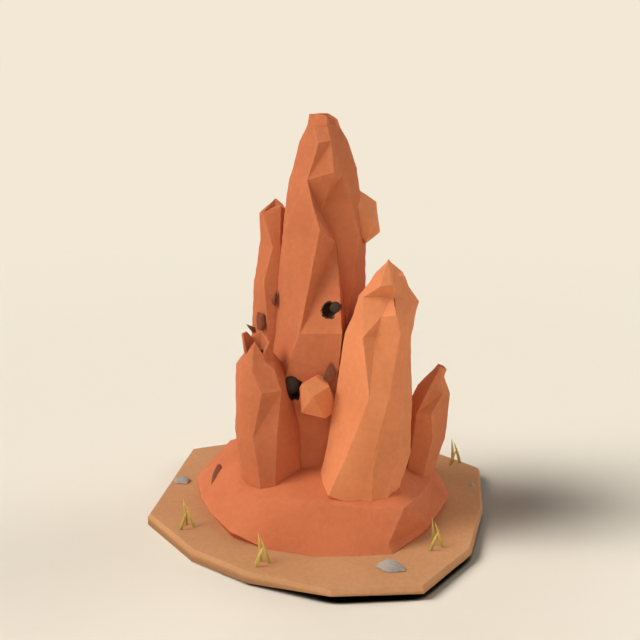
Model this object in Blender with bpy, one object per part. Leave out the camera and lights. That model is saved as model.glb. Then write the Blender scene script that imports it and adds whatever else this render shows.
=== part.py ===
"""Termite mound on its patch of bare ground, in metres, +Z up.

The mound is one grown piece: a low apron, five spires and two round lumps.
Its chimneys and vents are cut into it. Around it lie loose pieces of their
own: soil plugs, mud chips, stones and grass blades.
"""
import math

import bmesh
import bpy
from mathutils import Vector

GAP = 0.0003                 # left between pieces that touch
SEAT_GAP = 0.0015            # round a piece that sits in a pocket cut to its shape
RIM_SHARE = 0.30             # share of a chimney's half width that its wall takes
THIN_RIM_SHARE = 0.14        # the same for a thin, broken crown
MAIN_CHIMNEY_DEPTH = 0.22
APRON_CORE = 0.35            # the apron's inmost ring, as a share of its first one
APRON_CORE_HEIGHT = 0.44
GROUND_DEPTH = 0.10          # thickness of the patch of ground
EDGE_SLOPE = 0.02            # how far the patch's edge slopes out
FRAME_SHIFT = (-0.03, 0.0)   # puts the middle of the patch's box on the origin

BLADE_FOOT = 0.012           # a grass blade's radius where it leaves the ground
BLADE_TIP = 0.003
BLADE_SIDES = 5

# ---------------------------------------------------------------- the ground
# Each corner: x, y, how high its lower lip stands, how far the underside
# draws in below that lip. They run round from the left, through the front.
GROUND_CORNERS = [
    (-1.16, 1.07, 0.03, 0.08),
    (-1.31, -0.26, 0.01, 0.03),
    (-0.90, -0.82, 0.01, 0.03),
    (-0.49, -1.13, 0.02, 0.06),
    (0.07, -1.37, 0.06, 0.12),
    (0.67, -1.32, 0.05, 0.12),
    (1.06, -0.81, 0.055, 0.12),
    (1.26, -0.13, 0.06, 0.12),
    (1.37, 0.63, 0.05, 0.10),
    (0.82, 1.25, 0.04, 0.10),
    (0.12, 1.37, 0.03, 0.10),
    (-0.52, 1.33, 0.04, 0.09),
]
EDGE_DROP = 0.03             # height of the sloping band round the top
SIDE_HEIGHT = 0.01           # least height of the upright side below that band

# ------------------------------------------------------- the mound's sections
# A spire is a loft. Each section is a ring of corners (x, y, z above the
# ground), from the left through the front, the right and the back. Below each
# section stands how its panels fold: u, the crease climbs to the right; d, it
# drops to the right.
MAIN_SPIRE = [
    [(-0.06, 0.15, 3.00), (-0.08, 0.07, 3.00), (-0.03, 0.00, 3.00), (0.05, -0.06, 2.99),
     (0.08, -0.01, 2.93), (0.14, 0.09, 2.90), (0.13, 0.16, 2.96), (0.06, 0.19, 3.00)],
    "uuuuuuuu",
    [(-0.08, 0.17, 2.93), (-0.09, 0.08, 2.93), (-0.04, -0.01, 2.91), (0.05, -0.06, 2.91),
     (0.10, 0.00, 2.90), (0.15, 0.08, 2.90), (0.14, 0.18, 2.91), (0.04, 0.22, 2.92)],
    "uuuduuuu",
    [(-0.13, 0.20, 2.81), (-0.15, 0.08, 2.81), (-0.01, -0.17, 2.80), (0.08, -0.15, 2.82),
     (0.12, -0.06, 2.82), (0.20, 0.04, 2.81), (0.19, 0.20, 2.81), (0.04, 0.28, 2.80)],
    "uuududuu",
    [(-0.23, 0.16, 2.53), (-0.22, 0.05, 2.54), (-0.09, -0.16, 2.54), (0.10, -0.21, 2.60),
     (0.16, -0.13, 2.57), (0.27, 0.02, 2.61), (0.26, 0.24, 2.56), (0.04, 0.36, 2.55)],
    "uududuuu",
    [(-0.26, 0.12, 2.30), (-0.20, -0.05, 2.34), (-0.05, -0.19, 2.36), (0.01, -0.08, 2.30),
     (0.22, -0.13, 2.41), (0.29, 0.00, 2.48), (0.30, 0.24, 2.38), (0.04, 0.41, 2.34)],
    "uudduuuu",
    [(-0.29, 0.14, 2.08), (-0.27, 0.00, 2.14), (0.00, -0.23, 2.20), (0.12, -0.10, 2.08),
     (0.29, -0.09, 2.12), (0.35, 0.06, 2.06), (0.33, 0.27, 2.08), (0.03, 0.44, 2.08)],
    "uuudduuu",
    [(-0.34, 0.14, 1.56), (-0.27, -0.04, 1.57), (-0.15, -0.26, 1.43), (0.16, -0.37, 1.46),
     (0.20, -0.17, 1.46), (0.34, 0.06, 1.46), (0.34, 0.32, 1.46), (0.00, 0.48, 1.46)],
    "uuduuuuu",
    [(-0.42, 0.20, 1.10), (-0.37, -0.02, 1.10), (-0.25, -0.26, 1.12), (0.13, -0.31, 1.09),
     (0.22, -0.21, 1.05), (0.37, 0.10, 1.05), (0.38, 0.36, 1.05), (-0.02, 0.54, 1.05)],
    "uuuuuuuu",
    [(-0.46, 0.22, 0.62), (-0.40, -0.04, 0.62), (-0.25, -0.28, 0.62), (0.12, -0.30, 0.63),
     (0.24, -0.22, 0.62), (0.40, 0.12, 0.62), (0.42, 0.40, 0.62), (-0.02, 0.60, 0.62)],
    "uuuuuuuu",
    [(-0.50, 0.24, 0.10), (-0.43, -0.06, 0.10), (-0.26, -0.34, 0.10), (0.13, -0.34, 0.10),
     (0.27, -0.26, 0.10), (0.44, 0.12, 0.10), (0.46, 0.44, 0.10), (-0.02, 0.66, 0.10)],
]

LEFT_BACK_SPIRE = [
    [(-0.47, 0.25, 2.26), (-0.44, 0.19, 2.27), (-0.30, 0.17, 2.32), (-0.26, 0.24, 2.28),
     (-0.29, 0.30, 2.32), (-0.34, 0.34, 2.36), (-0.43, 0.32, 2.29)],
    "uuuuduu",
    [(-0.46, 0.25, 2.05), (-0.36, 0.13, 2.01), (-0.30, 0.14, 2.01), (-0.22, 0.24, 2.02),
     (-0.24, 0.35, 2.02), (-0.33, 0.39, 2.04), (-0.43, 0.35, 2.04)],
    "uduuuuu",
    [(-0.52, 0.26, 1.72), (-0.43, 0.11, 1.74), (-0.31, 0.11, 1.72), (-0.19, 0.24, 1.72),
     (-0.22, 0.39, 1.72), (-0.34, 0.45, 1.74), (-0.48, 0.40, 1.70)],
    "uuuuduu",
    [(-0.54, 0.26, 1.34), (-0.40, 0.08, 1.37), (-0.28, 0.08, 1.35), (-0.16, 0.24, 1.34),
     (-0.19, 0.43, 1.34), (-0.35, 0.50, 1.36), (-0.51, 0.43, 1.32)],
    "uduuuuu",
    [(-0.57, 0.27, 0.88), (-0.47, 0.05, 0.90), (-0.28, 0.04, 0.90), (-0.12, 0.24, 0.88),
     (-0.15, 0.48, 0.88), (-0.36, 0.56, 0.90), (-0.55, 0.48, 0.86)],
    "uuuuuuu",
    [(-0.62, 0.28, 0.10), (-0.50, 0.02, 0.10), (-0.28, 0.00, 0.10), (-0.08, 0.24, 0.10),
     (-0.12, 0.54, 0.10), (-0.36, 0.64, 0.10), (-0.60, 0.54, 0.10)],
]

LEFT_FRONT_SPIRE = [
    [(-0.58, -0.24, 1.43), (-0.54, -0.33, 1.29), (-0.51, -0.36, 1.35), (-0.47, -0.37, 1.40),
     (-0.41, -0.37, 1.30), (-0.37, -0.27, 1.37), (-0.43, -0.17, 1.43), (-0.51, -0.15, 1.38),
     (-0.55, -0.18, 1.43)],
    "uuuuduuuu",
    [(-0.56, -0.25, 1.28), (-0.55, -0.32, 1.27), (-0.52, -0.37, 1.28), (-0.49, -0.39, 1.28),
     (-0.40, -0.38, 1.25), (-0.34, -0.28, 1.25), (-0.35, -0.15, 1.26), (-0.46, -0.10, 1.26),
     (-0.55, -0.15, 1.27)],
    "uuuuuuuuu",
    [(-0.62, -0.24, 1.20), (-0.58, -0.34, 1.19), (-0.51, -0.41, 1.19), (-0.49, -0.42, 1.19),
     (-0.33, -0.39, 1.20), (-0.27, -0.27, 1.14), (-0.28, -0.12, 1.17), (-0.41, -0.03, 1.19),
     (-0.57, -0.08, 1.19)],
    "uuududuuu",
    [(-0.63, -0.26, 1.00), (-0.59, -0.37, 1.00), (-0.51, -0.45, 1.02), (-0.42, -0.48, 1.04),
     (-0.28, -0.43, 1.05), (-0.21, -0.29, 0.97), (-0.22, -0.10, 1.00), (-0.39, 0.00, 1.00),
     (-0.59, -0.06, 1.00)],
    "uuuuduuuu",
    [(-0.64, -0.27, 0.70), (-0.60, -0.38, 0.71), (-0.52, -0.46, 0.71), (-0.49, -0.48, 0.70),
     (-0.31, -0.48, 0.76), (-0.16, -0.30, 0.72), (-0.17, -0.08, 0.72), (-0.38, 0.02, 0.72),
     (-0.61, -0.04, 0.72)],
    "uuuuduuuu",
    [(-0.61, -0.28, 0.42), (-0.57, -0.36, 0.38), (-0.52, -0.43, 0.36), (-0.44, -0.49, 0.33),
     (-0.33, -0.49, 0.33), (-0.15, -0.34, 0.42), (-0.15, -0.06, 0.42), (-0.38, 0.04, 0.42),
     (-0.61, -0.04, 0.42)],
    "uuuuuuuuu",
    [(-0.58, -0.26, 0.10), (-0.54, -0.34, 0.10), (-0.50, -0.40, 0.10), (-0.43, -0.44, 0.10),
     (-0.32, -0.44, 0.10), (-0.14, -0.32, 0.10), (-0.14, -0.06, 0.10), (-0.38, 0.04, 0.10),
     (-0.58, -0.04, 0.10)],
]

RIGHT_FRONT_SPIRE = [
    [(0.40, -0.31, 1.90), (0.40, -0.36, 1.91), (0.44, -0.40, 1.95), (0.48, -0.41, 2.01),
     (0.51, -0.41, 1.98), (0.54, -0.40, 1.89), (0.61, -0.31, 1.87), (0.60, -0.21, 1.88),
     (0.50, -0.16, 1.96), (0.44, -0.22, 1.92)],
    "uuuuuuuudu",
    [(0.36, -0.28, 1.81), (0.32, -0.36, 1.79), (0.42, -0.49, 1.83), (0.50, -0.49, 1.84),
     (0.51, -0.49, 1.84), (0.58, -0.42, 1.80), (0.64, -0.31, 1.79), (0.62, -0.18, 1.80),
     (0.52, -0.12, 1.82), (0.38, -0.17, 1.82)],
    "uuuuudduuu",
    [(0.28, -0.32, 1.73), (0.31, -0.42, 1.74), (0.42, -0.44, 1.75), (0.50, -0.45, 1.74),
     (0.52, -0.47, 1.75), (0.62, -0.40, 1.72), (0.72, -0.28, 1.68), (0.69, -0.14, 1.70),
     (0.54, -0.05, 1.72), (0.37, -0.11, 1.73)],
    "uuuududuuu",
    [(0.24, -0.35, 1.60), (0.30, -0.47, 1.61), (0.43, -0.51, 1.62), (0.53, -0.57, 1.64),
     (0.54, -0.57, 1.63), (0.62, -0.48, 1.62), (0.70, -0.28, 1.61), (0.69, -0.12, 1.61),
     (0.54, -0.01, 1.61), (0.33, -0.08, 1.61)],
    "duuuuduuuu",
    [(0.18, -0.36, 1.47), (0.30, -0.53, 1.47), (0.39, -0.49, 1.48), (0.56, -0.56, 1.50),
     (0.58, -0.55, 1.50), (0.62, -0.48, 1.40), (0.66, -0.32, 1.42), (0.67, -0.12, 1.44),
     (0.50, 0.02, 1.44), (0.27, -0.08, 1.46)],
    "uuduuuuuuu",
    [(0.11, -0.36, 1.00), (0.35, -0.61, 1.06), (0.38, -0.61, 1.07), (0.49, -0.61, 1.07),
     (0.50, -0.60, 1.06), (0.60, -0.52, 1.04), (0.68, -0.34, 1.00), (0.66, -0.10, 1.00),
     (0.47, 0.05, 1.00), (0.22, -0.06, 1.00)],
    "uduuuuuuuu",
    [(0.05, -0.40, 0.60), (0.19, -0.65, 0.63), (0.22, -0.66, 0.62), (0.36, -0.66, 0.53),
     (0.38, -0.66, 0.53), (0.57, -0.57, 0.59), (0.67, -0.40, 0.56), (0.64, -0.10, 0.56),
     (0.43, 0.07, 0.56), (0.16, -0.04, 0.56)],
    "uduuuuuuuu",
    [(0.00, -0.41, 0.38), (0.06, -0.68, 0.34), (0.19, -0.69, 0.30), (0.28, -0.68, 0.25),
     (0.37, -0.69, 0.21), (0.46, -0.68, 0.22), (0.59, -0.52, 0.36), (0.63, -0.16, 0.36),
     (0.42, 0.08, 0.36), (0.10, -0.04, 0.36)],
    "uuuuuuuuuu",
    [(0.06, -0.36, 0.10), (0.12, -0.46, 0.10), (0.22, -0.56, 0.10), (0.30, -0.58, 0.10),
     (0.36, -0.59, 0.10), (0.45, -0.56, 0.10), (0.54, -0.44, 0.10), (0.56, -0.14, 0.10),
     (0.40, 0.04, 0.10), (0.14, -0.04, 0.10)],
]

RIGHT_BACK_SPIRE = [
    [(0.92, 0.11, 1.06), (0.94, 0.08, 1.08), (0.97, 0.09, 1.06), (1.00, 0.14, 1.04),
     (0.98, 0.18, 1.06), (0.93, 0.17, 1.08)],
    "uuuuuu",
    [(0.89, 0.12, 1.02), (0.91, 0.07, 1.02), (0.95, 0.08, 0.99), (0.98, 0.14, 0.98),
     (0.97, 0.20, 1.00), (0.90, 0.20, 1.02)],
    "duduuu",
    [(0.77, 0.12, 0.92), (0.85, 0.00, 0.94), (0.96, 0.02, 0.88), (1.03, 0.13, 0.84),
     (1.00, 0.28, 0.88), (0.83, 0.28, 0.92)],
    "duuuuu",
    [(0.69, 0.10, 0.76), (0.75, -0.05, 0.74), (0.86, -0.08, 0.74), (1.01, 0.09, 0.70),
     (1.00, 0.30, 0.72), (0.77, 0.33, 0.74)],
    "duuuuu",
    [(0.66, 0.08, 0.50), (0.72, -0.08, 0.53), (0.87, -0.09, 0.53), (1.00, 0.12, 0.46),
     (0.97, 0.32, 0.48), (0.74, 0.34, 0.50)],
    "uuuuuu",
    [(0.62, 0.06, 0.28), (0.68, -0.08, 0.27), (0.80, -0.11, 0.20), (0.90, 0.04, 0.20),
     (0.90, 0.30, 0.24), (0.70, 0.34, 0.28)],
    "uuuuuu",
    [(0.62, 0.06, 0.06), (0.66, -0.04, 0.06), (0.76, -0.05, 0.06), (0.84, 0.06, 0.06),
     (0.84, 0.26, 0.06), (0.68, 0.28, 0.06)],
]

APRON = [
    [(-0.58, 0.12, 0.40), (-0.56, -0.08, 0.38), (-0.50, -0.26, 0.36), (-0.42, -0.42, 0.34),
     (-0.30, -0.42, 0.36), (0.00, -0.46, 0.38), (0.25, -0.50, 0.36), (0.45, -0.50, 0.36),
     (0.60, -0.30, 0.36), (0.68, -0.02, 0.30), (0.64, 0.26, 0.34), (0.46, 0.48, 0.40),
     (0.20, 0.58, 0.42), (-0.12, 0.60, 0.42), (-0.40, 0.52, 0.42), (-0.56, 0.34, 0.42)],
    "uuuuuuuuuuuuuuuu",
    [(-0.80, 0.22, 0.28), (-0.74, -0.12, 0.27), (-0.64, -0.38, 0.26), (-0.46, -0.58, 0.26),
     (-0.36, -0.62, 0.28), (0.01, -0.70, 0.30), (0.35, -0.75, 0.275), (0.60, -0.75, 0.28),
     (0.76, -0.42, 0.24), (0.88, -0.06, 0.20), (0.86, 0.34, 0.24), (0.66, 0.68, 0.28),
     (0.28, 0.82, 0.30), (-0.14, 0.85, 0.30), (-0.54, 0.74, 0.30), (-0.76, 0.50, 0.30)],
    "duuudduduuuuuuuu",
    [(-1.02, 0.26, 0.08), (-0.93, -0.14, 0.08), (-0.82, -0.42, 0.08), (-0.65, -0.72, 0.08),
     (-0.37, -0.80, 0.08), (-0.04, -0.85, 0.09), (0.22, -0.87, 0.07), (0.48, -0.87, 0.06),
     (0.81, -0.57, 0.06), (1.02, -0.10, 0.08), (0.98, 0.38, 0.08), (0.80, 0.80, 0.08),
     (0.36, 1.00, 0.08), (-0.15, 1.04, 0.08), (-0.63, 0.92, 0.08), (-0.93, 0.66, 0.08)],
    "uuuduuuuuuuuuuuu",
    [(-1.02, 0.30, 0.00), (-0.91, -0.08, 0.00), (-0.80, -0.34, 0.00), (-0.65, -0.63, 0.00),
     (-0.38, -0.83, 0.00), (-0.05, -0.93, 0.00), (0.25, -0.93, 0.00), (0.51, -0.90, 0.00),
     (0.80, -0.55, 0.00), (0.99, -0.05, 0.00), (0.96, 0.40, 0.00), (0.78, 0.80, 0.00),
     (0.35, 0.98, 0.00), (-0.15, 1.02, 0.00), (-0.62, 0.90, 0.00), (-0.92, 0.66, 0.00)],
]

# Each spire beside the main one: its sections, its rim's share, its chimney's depth.
SIDE_SPIRES = {
    "left_back_spire": (LEFT_BACK_SPIRE, RIM_SHARE, 0.16),
    "left_front_spire": (LEFT_FRONT_SPIRE, THIN_RIM_SHARE, 0.16),
    "right_front_spire": (RIGHT_FRONT_SPIRE, RIM_SHARE, 0.16),
    "right_back_spire": (RIGHT_BACK_SPIRE, RIM_SHARE, 0.05),
}

# The lumps, chips and stones are hulls of a few corners each.
LUMPS = {
    "front_lump": [
        (-0.03, -0.36, 1.13), (-0.13, -0.43, 1.11), (0.07, -0.42, 1.08), (0.10, -0.34, 0.99),
        (-0.05, -0.48, 1.02), (-0.14, -0.38, 0.86), (0.04, -0.42, 0.83), (0.12, -0.33, 0.86),
        (-0.02, -0.20, 0.80), (0.02, -0.22, 1.12), (-0.16, -0.29, 1.01),
    ],
    "side_lump": [
        (0.42, 0.08, 2.36), (0.45, 0.06, 2.14), (0.34, -0.02, 2.06), (0.27, -0.06, 2.20),
        (0.24, -0.06, 2.38), (0.28, 0.02, 2.46), (0.38, -0.06, 2.22), (0.36, 0.22, 2.36),
        (0.38, 0.22, 2.16), (0.28, 0.20, 2.06), (0.20, 0.10, 2.26),
    ],
}

MUD_CHIPS = {
    "mud_chip_front": [
        (0.08, -0.33, 1.24), (0.12, -0.34, 1.15), (0.10, -0.35, 1.11), (0.06, -0.36, 1.08),
        (0.02, -0.36, 1.11), (0.03, -0.35, 1.15), (0.06, -0.24, 1.17), (0.08, -0.24, 1.12),
    ],
    "mud_chip_upper": [
        (-0.33, 0.08, 1.69), (-0.335, 0.07, 1.56), (-0.37, 0.085, 1.58), (-0.37, 0.08, 1.62),
        (-0.35, 0.05, 1.61), (-0.34, 0.14, 1.64), (-0.36, 0.14, 1.58),
    ],
    "mud_chip_lower": [
        (-0.49, 0.16, 1.50), (-0.43, 0.10, 1.50), (-0.42, 0.08, 1.42), (-0.43, 0.09, 1.36),
        (-0.49, 0.15, 1.36), (-0.50, 0.17, 1.43), (-0.46, 0.085, 1.47), (-0.455, 0.08, 1.38),
        (-0.44, 0.20, 1.43), (-0.47, 0.20, 1.40),
    ],
    "mud_thorn": [
        (-0.585, 0.20, 1.395), (-0.53, 0.21, 1.365), (-0.53, 0.19, 1.32), (-0.53, 0.25, 1.33),
        (-0.50, 0.24, 1.35), (-0.50, 0.22, 1.32),
    ],
    "mud_chip_foot": [
        (-0.82, 0.06, 0.28), (-0.79, 0.06, 0.28), (-0.78, 0.00, 0.24), (-0.79, -0.03, 0.21),
        (-0.82, -0.08, 0.18), (-0.86, -0.10, 0.16), (-0.85, 0.00, 0.225), (-0.80, 0.06, 0.18),
        (-0.83, 0.00, 0.13),
    ],
}

# Round cavities and the soil plugs that close them: middle, then radii.
VENTS = {
    "vent_high": ((0.065, -0.275, 1.611), (0.052, 0.070, 0.058)),
    "vent_low": ((-0.190, -0.270, 1.015), (0.070, 0.075, 0.080)),
}
SOIL_PLUGS = {
    "soil_plug_high": ((0.116, -0.270, 1.628), (0.045, 0.036, 0.045)),
    "soil_plug_low": ((-0.212, -0.265, 1.040), (0.066, 0.055, 0.070)),
}

STONES = {
    "stone_front": [
        (0.37, -1.08, 0.00), (0.44, -1.16, 0.00), (0.58, -1.15, 0.00), (0.59, -1.10, 0.00),
        (0.52, -1.00, 0.00), (0.40, -1.02, 0.00), (0.39, -1.08, 0.02), (0.46, -1.07, 0.06),
        (0.52, -1.08, 0.045), (0.56, -1.11, 0.02), (0.48, -1.13, 0.03),
    ],
    "stone_left": [
        (-1.24, 0.36, 0.00), (-1.20, 0.29, 0.00), (-1.10, 0.28, 0.00), (-1.08, 0.35, 0.00),
        (-1.12, 0.42, 0.00), (-1.20, 0.42, 0.00), (-1.21, 0.36, 0.03), (-1.15, 0.37, 0.045),
        (-1.10, 0.35, 0.03),
    ],
}
SUNK_STONE = [
    (1.20, 0.24, -0.02), (1.22, 0.30, -0.05), (1.30, 0.18, -0.04), (1.345, 0.25, -0.035),
    (1.25, 0.27, 0.022), (1.30, 0.30, -0.02), (1.28, 0.20, -0.06), (1.24, 0.20, -0.04),
]

# A tuft is three blades: foot from the tuft's place, how far the tip leans, height.
TUFT_BLADES = [
    ((0.00, 0.00), 0.060, 0.165),
    ((0.03, 0.08), -0.015, 0.220),
    ((0.09, 0.05), -0.060, 0.200),
]
TUFT_PLACES = [(-1.035, -0.53), (-0.44, -1.08), (0.78, -0.85), (1.14, 0.69)]


def clear_scene():
    for obj in list(bpy.data.objects):
        bpy.data.objects.remove(obj, do_unlink=True)


def make_collection(name):
    group = bpy.data.collections.new(name)
    bpy.context.scene.collection.children.link(group)
    return group


def make_material(name, colour, roughness):
    material = bpy.data.materials.new(name)
    material.use_nodes = True
    shader = material.node_tree.nodes["Principled BSDF"]
    shader.inputs["Base Color"].default_value = (*colour, 1.0)
    shader.inputs["Roughness"].default_value = roughness
    shader.inputs["Metallic"].default_value = 0.0
    return material


def add_object(name, mesh, group, material, location):
    obj = bpy.data.objects.new(name, mesh)
    group.objects.link(obj)
    obj.data.materials.append(material)
    obj.location = location
    return obj


def loft_mesh(name, sections):
    """A closed loft down a list of rings, with how each panel folds between."""
    rings = sections[0::2]
    folds = sections[1::2]
    count = len(rings[0])
    bm = bmesh.new()
    corners = [[bm.verts.new(point) for point in ring] for ring in rings]
    for level, fold in enumerate(folds):
        upper, lower = corners[level], corners[level + 1]
        for i in range(count):
            k = (i + 1) % count
            if fold[i] == "u":
                bm.faces.new((upper[i], lower[i], upper[k]))
                bm.faces.new((upper[k], lower[i], lower[k]))
            else:
                bm.faces.new((upper[i], lower[i], lower[k]))
                bm.faces.new((upper[i], lower[k], upper[k]))
    bm.faces.new(corners[0])
    bm.faces.new(reversed(corners[-1]))
    bmesh.ops.recalc_face_normals(bm, faces=bm.faces)
    mesh = bpy.data.meshes.new(name)
    bm.to_mesh(mesh)
    bm.free()
    return mesh


def hull_mesh(name, points):
    bm = bmesh.new()
    for point in points:
        bm.verts.new(point)
    hull = bmesh.ops.convex_hull(bm, input=bm.verts)
    unused = [v for v in hull["geom_interior"] if isinstance(v, bmesh.types.BMVert)]
    bmesh.ops.delete(bm, geom=unused, context="VERTS")
    bmesh.ops.recalc_face_normals(bm, faces=bm.faces)
    mesh = bpy.data.meshes.new(name)
    bm.to_mesh(mesh)
    bm.free()
    return mesh


def drawn_in(ring, middle, share, height=None):
    """The ring brought towards an upright axis, level at a height if one is given."""
    points = []
    for point in ring:
        z = point[2] if height is None else height
        points.append((point[0] + (middle.x - point[0]) * share,
                       point[1] + (middle.y - point[1]) * share, z))
    return points


def add_chimney(sections, rim_share, depth):
    """Carries a spire's top ring inwards over its rim and down into a pit."""
    rim = sections[0]
    middle = sum((Vector(point) for point in rim), Vector()) / len(rim)
    lowest = min(point[2] for point in rim)
    lip = drawn_in(rim, middle, rim_share)
    throat = drawn_in(lip, middle, rim_share, lowest - 0.5 * depth)
    floor = drawn_in(throat, middle, rim_share, lowest - depth)
    plain = "u" * len(rim)
    return [floor, plain, throat, plain, lip, plain] + sections


def join_shape(target, tool, operation):
    """A Boolean on target; the tool stays as a hidden wire shape."""
    tool.hide_render = True
    tool.display_type = "WIRE"
    modifier = target.modifiers.new(tool.name, "BOOLEAN")
    modifier.operation = operation
    modifier.object = tool
    modifier.solver = "EXACT"


def grown(points, gap):
    """The same corners moved out from their middle, to leave a gap round a hull."""
    corners = [Vector(point) for point in points]
    middle = sum(corners, Vector()) / len(corners)
    return [point + (point - middle).normalized() * gap for point in corners]


def make_ground(group):
    top = []
    edge = []
    lip = []
    foot = []
    for x, y, lip_height, draw_in in GROUND_CORNERS:
        reach = math.hypot(x, y)
        out = (reach + EDGE_SLOPE) / reach
        inward = (reach + EDGE_SLOPE - draw_in) / reach
        top.append((x, y, GROUND_DEPTH))
        edge.append((x * out, y * out, GROUND_DEPTH - EDGE_DROP))
        lip.append((x * out, y * out, min(lip_height, GROUND_DEPTH - EDGE_DROP - SIDE_HEIGHT)))
        foot.append((x * inward, y * inward, 0.0))
    plain = "u" * len(top)
    mesh = loft_mesh("ground_patch", [top, plain, edge, plain, lip, plain, foot])
    material = make_material("bare_ground", (0.58, 0.28, 0.12), 0.95)
    return add_object("ground_patch", mesh, group, material, (*FRAME_SHIFT, 0.0))


def make_tool(name, mesh, tools):
    obj = bpy.data.objects.new(name, mesh)
    tools.objects.link(obj)
    obj.location = (*FRAME_SHIFT, GROUND_DEPTH + GAP)
    return obj


def ball_mesh(name, middle, radii):
    bm = bmesh.new()
    bmesh.ops.create_icosphere(bm, subdivisions=2, radius=1.0)
    bmesh.ops.scale(bm, verts=bm.verts, vec=radii)
    bmesh.ops.translate(bm, verts=bm.verts, vec=middle)
    mesh = bpy.data.meshes.new(name)
    bm.to_mesh(mesh)
    bm.free()
    return mesh


def make_mound(group, tools):
    earth = make_material("mound_earth", (0.72, 0.24, 0.09), 0.9)
    place = (*FRAME_SHIFT, GROUND_DEPTH + GAP)
    trunk = loft_mesh("mound", add_chimney(MAIN_SPIRE, THIN_RIM_SHARE, MAIN_CHIMNEY_DEPTH))
    mound = add_object("mound", trunk, group, earth, place)

    for name, (middle, radii) in VENTS.items():
        tool = make_tool(name, ball_mesh(name, middle, radii), tools)
        join_shape(mound, tool, "DIFFERENCE")

    core = [(APRON_CORE * x, APRON_CORE * y, APRON_CORE_HEIGHT) for x, y, z in APRON[0]]
    grown_on = {"apron": loft_mesh("apron", [core, "u" * len(core)] + APRON)}
    for name, (sections, rim_share, depth) in SIDE_SPIRES.items():
        grown_on[name] = loft_mesh(name, add_chimney(sections, rim_share, depth))
    for name, points in LUMPS.items():
        grown_on[name] = hull_mesh(name, points)
    for name, mesh in grown_on.items():
        join_shape(mound, make_tool(name, mesh, tools), "UNION")

    for name, points in MUD_CHIPS.items():
        tool = make_tool(name + "_seat", hull_mesh(name, grown(points, SEAT_GAP)), tools)
        join_shape(mound, tool, "DIFFERENCE")
    for name, (middle, radii) in SOIL_PLUGS.items():
        wide = [radius + SEAT_GAP for radius in radii]
        tool = make_tool(name + "_seat", ball_mesh(name, middle, wide), tools)
        join_shape(mound, tool, "DIFFERENCE")
    return mound


def make_mound_pieces(group):
    place = (*FRAME_SHIFT, GROUND_DEPTH + GAP)
    for name, points in MUD_CHIPS.items():
        mud = make_material(name, (0.26, 0.08, 0.035), 0.9)
        add_object(name, hull_mesh(name, points), group, mud, place)
    for name, (middle, radii) in SOIL_PLUGS.items():
        soil = make_material(name, (0.045, 0.022, 0.014), 0.95)
        add_object(name, ball_mesh(name, middle, radii), group, soil, place)


def make_stones(group, tools, ground):
    for name, points in STONES.items():
        grey = make_material(name, (0.42, 0.36, 0.30), 0.8)
        place = (*FRAME_SHIFT, GROUND_DEPTH + GAP)
        add_object(name, hull_mesh(name, points), group, grey, place)
    grey = make_material("stone_sunk", (0.42, 0.36, 0.30), 0.8)
    place = (*FRAME_SHIFT, GROUND_DEPTH + GAP)
    add_object("stone_sunk", hull_mesh("stone_sunk", SUNK_STONE), group, grey, place)
    seat = make_tool("stone_seat", hull_mesh("stone_seat", grown(SUNK_STONE, SEAT_GAP)), tools)
    join_shape(ground, seat, "DIFFERENCE")


def blade_mesh(name, lean, height):
    """A thin cone, sheared so that it leans and still stands flat on its foot."""
    bm = bmesh.new()
    bmesh.ops.create_cone(bm, cap_ends=True, segments=BLADE_SIDES,
                          radius1=BLADE_FOOT, radius2=BLADE_TIP, depth=height)
    for vert in bm.verts:
        vert.co.z += 0.5 * height
        vert.co.x += lean * vert.co.z / height
    mesh = bpy.data.meshes.new(name)
    bm.to_mesh(mesh)
    bm.free()
    return mesh


def make_grass(group):
    for tuft, (tuft_x, tuft_y) in enumerate(TUFT_PLACES, start=1):
        for blade, ((foot_x, foot_y), lean, height) in enumerate(TUFT_BLADES, start=1):
            name = f"grass_tuft_{tuft}_blade_{blade}"
            straw = make_material(name, (0.50, 0.36, 0.08), 0.7)
            place = (tuft_x + foot_x + FRAME_SHIFT[0], tuft_y + foot_y + FRAME_SHIFT[1],
                     GROUND_DEPTH + GAP)
            add_object(name, blade_mesh(name, lean, height), group, straw, place)


def main():
    clear_scene()
    group = make_collection("termite_mound")
    tools = make_collection("cutters")
    ground = make_ground(group)
    make_mound(group, tools)
    make_mound_pieces(group)
    make_stones(group, tools, ground)
    make_grass(group)


main()
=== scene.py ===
# Termite mound on its patch of bare ground: the looks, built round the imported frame.
import math
import bpy
import numpy as np
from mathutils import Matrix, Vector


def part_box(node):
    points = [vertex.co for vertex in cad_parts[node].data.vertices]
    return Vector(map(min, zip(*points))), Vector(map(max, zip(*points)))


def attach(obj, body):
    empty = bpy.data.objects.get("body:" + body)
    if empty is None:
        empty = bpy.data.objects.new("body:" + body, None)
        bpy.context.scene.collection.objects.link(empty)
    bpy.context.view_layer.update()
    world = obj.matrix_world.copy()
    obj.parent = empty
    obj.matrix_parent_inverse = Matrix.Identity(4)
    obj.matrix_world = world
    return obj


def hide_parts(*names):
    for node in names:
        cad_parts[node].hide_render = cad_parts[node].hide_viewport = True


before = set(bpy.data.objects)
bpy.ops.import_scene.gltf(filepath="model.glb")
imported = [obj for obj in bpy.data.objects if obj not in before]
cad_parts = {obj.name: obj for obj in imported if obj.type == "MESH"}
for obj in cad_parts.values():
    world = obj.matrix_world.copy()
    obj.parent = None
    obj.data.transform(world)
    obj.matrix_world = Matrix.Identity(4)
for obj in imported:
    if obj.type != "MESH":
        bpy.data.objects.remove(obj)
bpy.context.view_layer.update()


def addNode(tree, kind, settings=None, **values):
    # one shader node, its settings, and its input values or incoming links by socket name
    node = tree.nodes.new(kind)
    for name, value in (settings or {}).items():
        setattr(node, name, value)
    for name, value in values.items():
        feed(tree, node.inputs[name.replace("_", " ")], value)
    return node


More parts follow.
